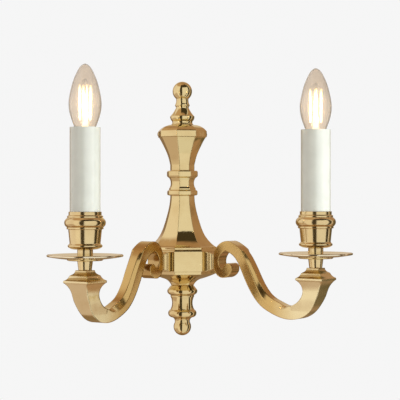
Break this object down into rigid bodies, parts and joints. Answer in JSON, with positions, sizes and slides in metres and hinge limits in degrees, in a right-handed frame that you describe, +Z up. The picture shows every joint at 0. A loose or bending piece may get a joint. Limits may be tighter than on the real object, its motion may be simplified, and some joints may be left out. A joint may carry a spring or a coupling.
{
  "type": "wall sconce",
  "caption": "Double arm wall sconce in polished brass, with a faceted cast column, scrolled arms, drip pans and candle sleeves with clear lamps.",
  "frame": {"origin": "on the wall plane, midway between the two wall fixing slots of the bracket", "axes": "+X along the wall to the right seen from the room, +Y into the wall, +Z up"},
  "size_m": [0.325, 0.1725, 0.2955],
  "materials": {
    "polished_brass": "polished",
    "fixing_brass": "plain",
    "zinc_steel": "zinc plated",
    "ivory_sleeve": "satin ivory",
    "holder_plastic": "moulded",
    "lamp_cap_metal": "plain",
    "cap_insulator": "moulded",
    "contact_metal": "soldered",
    "clear_glass": "clear",
    "filament": "glowing strip",
    "terminal_plastic": "moulded",
    "grommet_rubber": "moulded"
  },
  "bodies": {
    "bracket": {"wall_bracket": "zinc_steel", "cable_grommet": "grommet_rubber", "earth_screw": "fixing_brass", "terminal_block": "terminal_plastic", "terminal_screws": "zinc_steel"},
    "fixture": {"body_casting": "polished_brass", "top_finial": "polished_brass", "bottom_finial": "polished_brass", "finial_nuts": "zinc_steel", "arm_tubes": "zinc_steel", "arm_nuts": "zinc_steel", "cup_nuts": "zinc_steel", "left_arm": "polished_brass", "right_arm": "polished_brass", "left_arm_collar": "polished_brass", "right_arm_collar": "polished_brass", "left_coupler": "polished_brass", "right_coupler": "polished_brass", "left_pan_washer": "polished_brass", "right_pan_washer": "polished_brass", "left_drip_pan": "polished_brass", "right_drip_pan": "polished_brass", "left_pan_spacer": "polished_brass", "right_pan_spacer": "polished_brass", "left_candle_cup": "polished_brass", "right_candle_cup": "polished_brass", "left_candle_tube": "zinc_steel", "right_candle_tube": "zinc_steel", "left_lamp_holder": "holder_plastic", "right_lamp_holder": "holder_plastic", "left_holder_plungers": "fixing_brass", "right_holder_plungers": "fixing_brass"},
    "left_screw": {"left_side_screw": "fixing_brass"},
    "left_sleeve": {"left_candle_sleeve": "ivory_sleeve"},
    "left_lamp": {"left_lamp_cap": "lamp_cap_metal", "left_cap_insulator": "cap_insulator", "left_cap_contacts": "contact_metal", "left_lamp_glass": "clear_glass", "left_lamp_stem": "clear_glass", "left_filaments": "filament"},
    "right_screw": {"right_side_screw": "fixing_brass"},
    "right_sleeve": {"right_candle_sleeve": "ivory_sleeve"},
    "right_lamp": {"right_lamp_cap": "lamp_cap_metal", "right_cap_insulator": "cap_insulator", "right_cap_contacts": "contact_metal", "right_lamp_glass": "clear_glass", "right_lamp_stem": "clear_glass", "right_filaments": "filament"}
  },
  "joints": [
    {"name": "fixture_off_bracket", "type": "slide", "parent": "bracket", "child": "fixture", "axis": [0, -1, 0], "range_m": [0, 0.03]},
    {"name": "left_screw_turn", "type": "hinge", "parent": "fixture", "child": "left_screw", "pos_m": [-0.0264, -0.01, 0.07], "axis": [-1, 0, 0], "continuous": true},
    {"name": "left_sleeve_lift", "type": "slide", "parent": "fixture", "child": "left_sleeve", "axis": [0, 0, 1], "range_m": [0, 0.005]},
    {"name": "left_lamp_out", "type": "slide", "parent": "fixture", "child": "left_lamp", "axis": [0, 0, 1], "range_m": [0, 0.06]},
    {"name": "right_screw_turn", "type": "hinge", "parent": "fixture", "child": "right_screw", "pos_m": [0.0264, -0.01, 0.07], "axis": [1, 0, 0], "continuous": true},
    {"name": "right_sleeve_lift", "type": "slide", "parent": "fixture", "child": "right_sleeve", "axis": [0, 0, 1], "range_m": [0, 0.005]},
    {"name": "right_lamp_out", "type": "slide", "parent": "fixture", "child": "right_lamp", "axis": [0, 0, 1], "range_m": [0, 0.06]}
  ]
}
